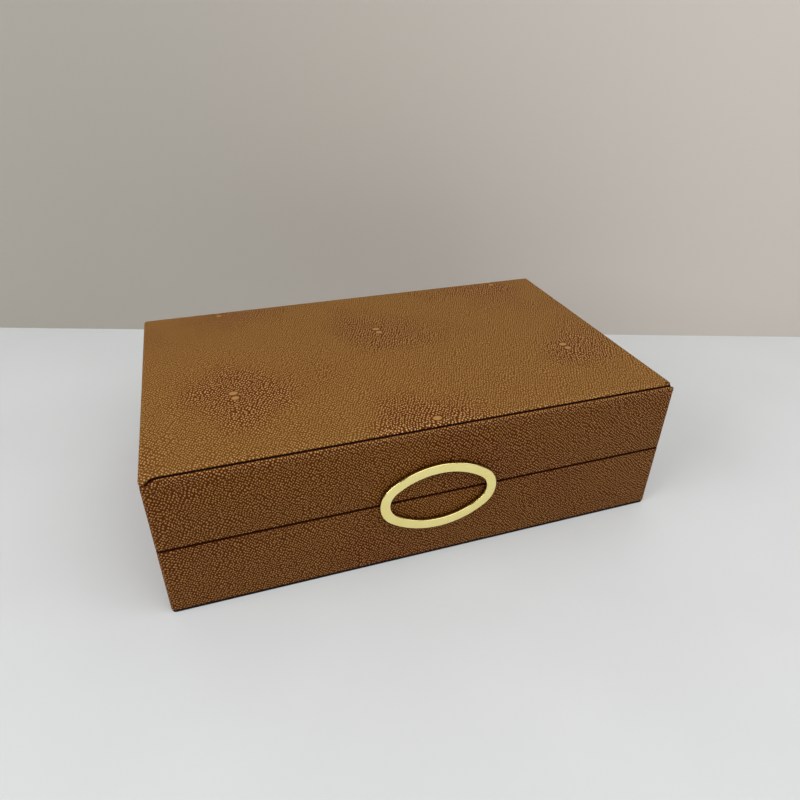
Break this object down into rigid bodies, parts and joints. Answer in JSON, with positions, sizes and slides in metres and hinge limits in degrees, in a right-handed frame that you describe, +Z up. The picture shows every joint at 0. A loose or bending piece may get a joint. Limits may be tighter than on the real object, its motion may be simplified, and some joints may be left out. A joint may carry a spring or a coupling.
{
  "type": "stationery box",
  "caption": "Rectangular leather-covered box for papers, with a hinged lid as deep as its base and a flat oval ring pull on the front.",
  "frame": {"origin": "middle of the felt face that the box stands on", "axes": "+X along the width, to the right seen from the front; the front with its ring faces -Y; +Z is up"},
  "size_m": [0.3, 0.1928, 0.09],
  "materials": {
    "leather": "tan leather with a pressed shagreen grain, satin",
    "board": "bare fibreboard, matt",
    "suede": "short suede, matt",
    "felt": "black felt, matt",
    "card": "grey card, matt",
    "gold": "pale gold plate, polished",
    "brass": "brass, satin",
    "steel": "bright steel"
  },
  "bodies": {
    "base": {"base_front_board": "board", "base_back_board": "board", "base_left_board": "board", "base_right_board": "board", "base_bottom_board": "board", "base_wall_cover": "leather", "base_infill_card": "card", "base_felt": "felt", "base_front_lining": "suede", "base_back_lining": "suede", "base_left_lining": "suede", "base_right_lining": "suede", "base_floor_lining": "suede", "hinge_base_leaf_left": "brass", "hinge_base_leaf_right": "brass", "hinge_pin_left": "steel", "hinge_pin_right": "steel", "hinge_base_screws": "brass"},
    "lid": {"lid_front_board": "board", "lid_back_board": "board", "lid_left_board": "board", "lid_right_board": "board", "lid_top_board": "board", "lid_front_cover": "leather", "lid_top_cover": "leather", "lid_front_lining": "suede", "lid_back_lining": "suede", "lid_left_lining": "suede", "lid_right_lining": "suede", "lid_top_lining": "suede", "hinge_lid_leaf_left": "brass", "hinge_lid_leaf_right": "brass", "hinge_lid_screws": "brass", "ring_pull": "gold", "ring_screws": "steel", "ring_washers": "steel"}
  },
  "joints": [
    {"name": "lid_hinge", "type": "hinge", "parent": "base", "child": "lid", "pos_m": [0, 0.094, 0.045], "axis": [-1, 0, 0], "range_deg": [0, 95]}
  ]
}
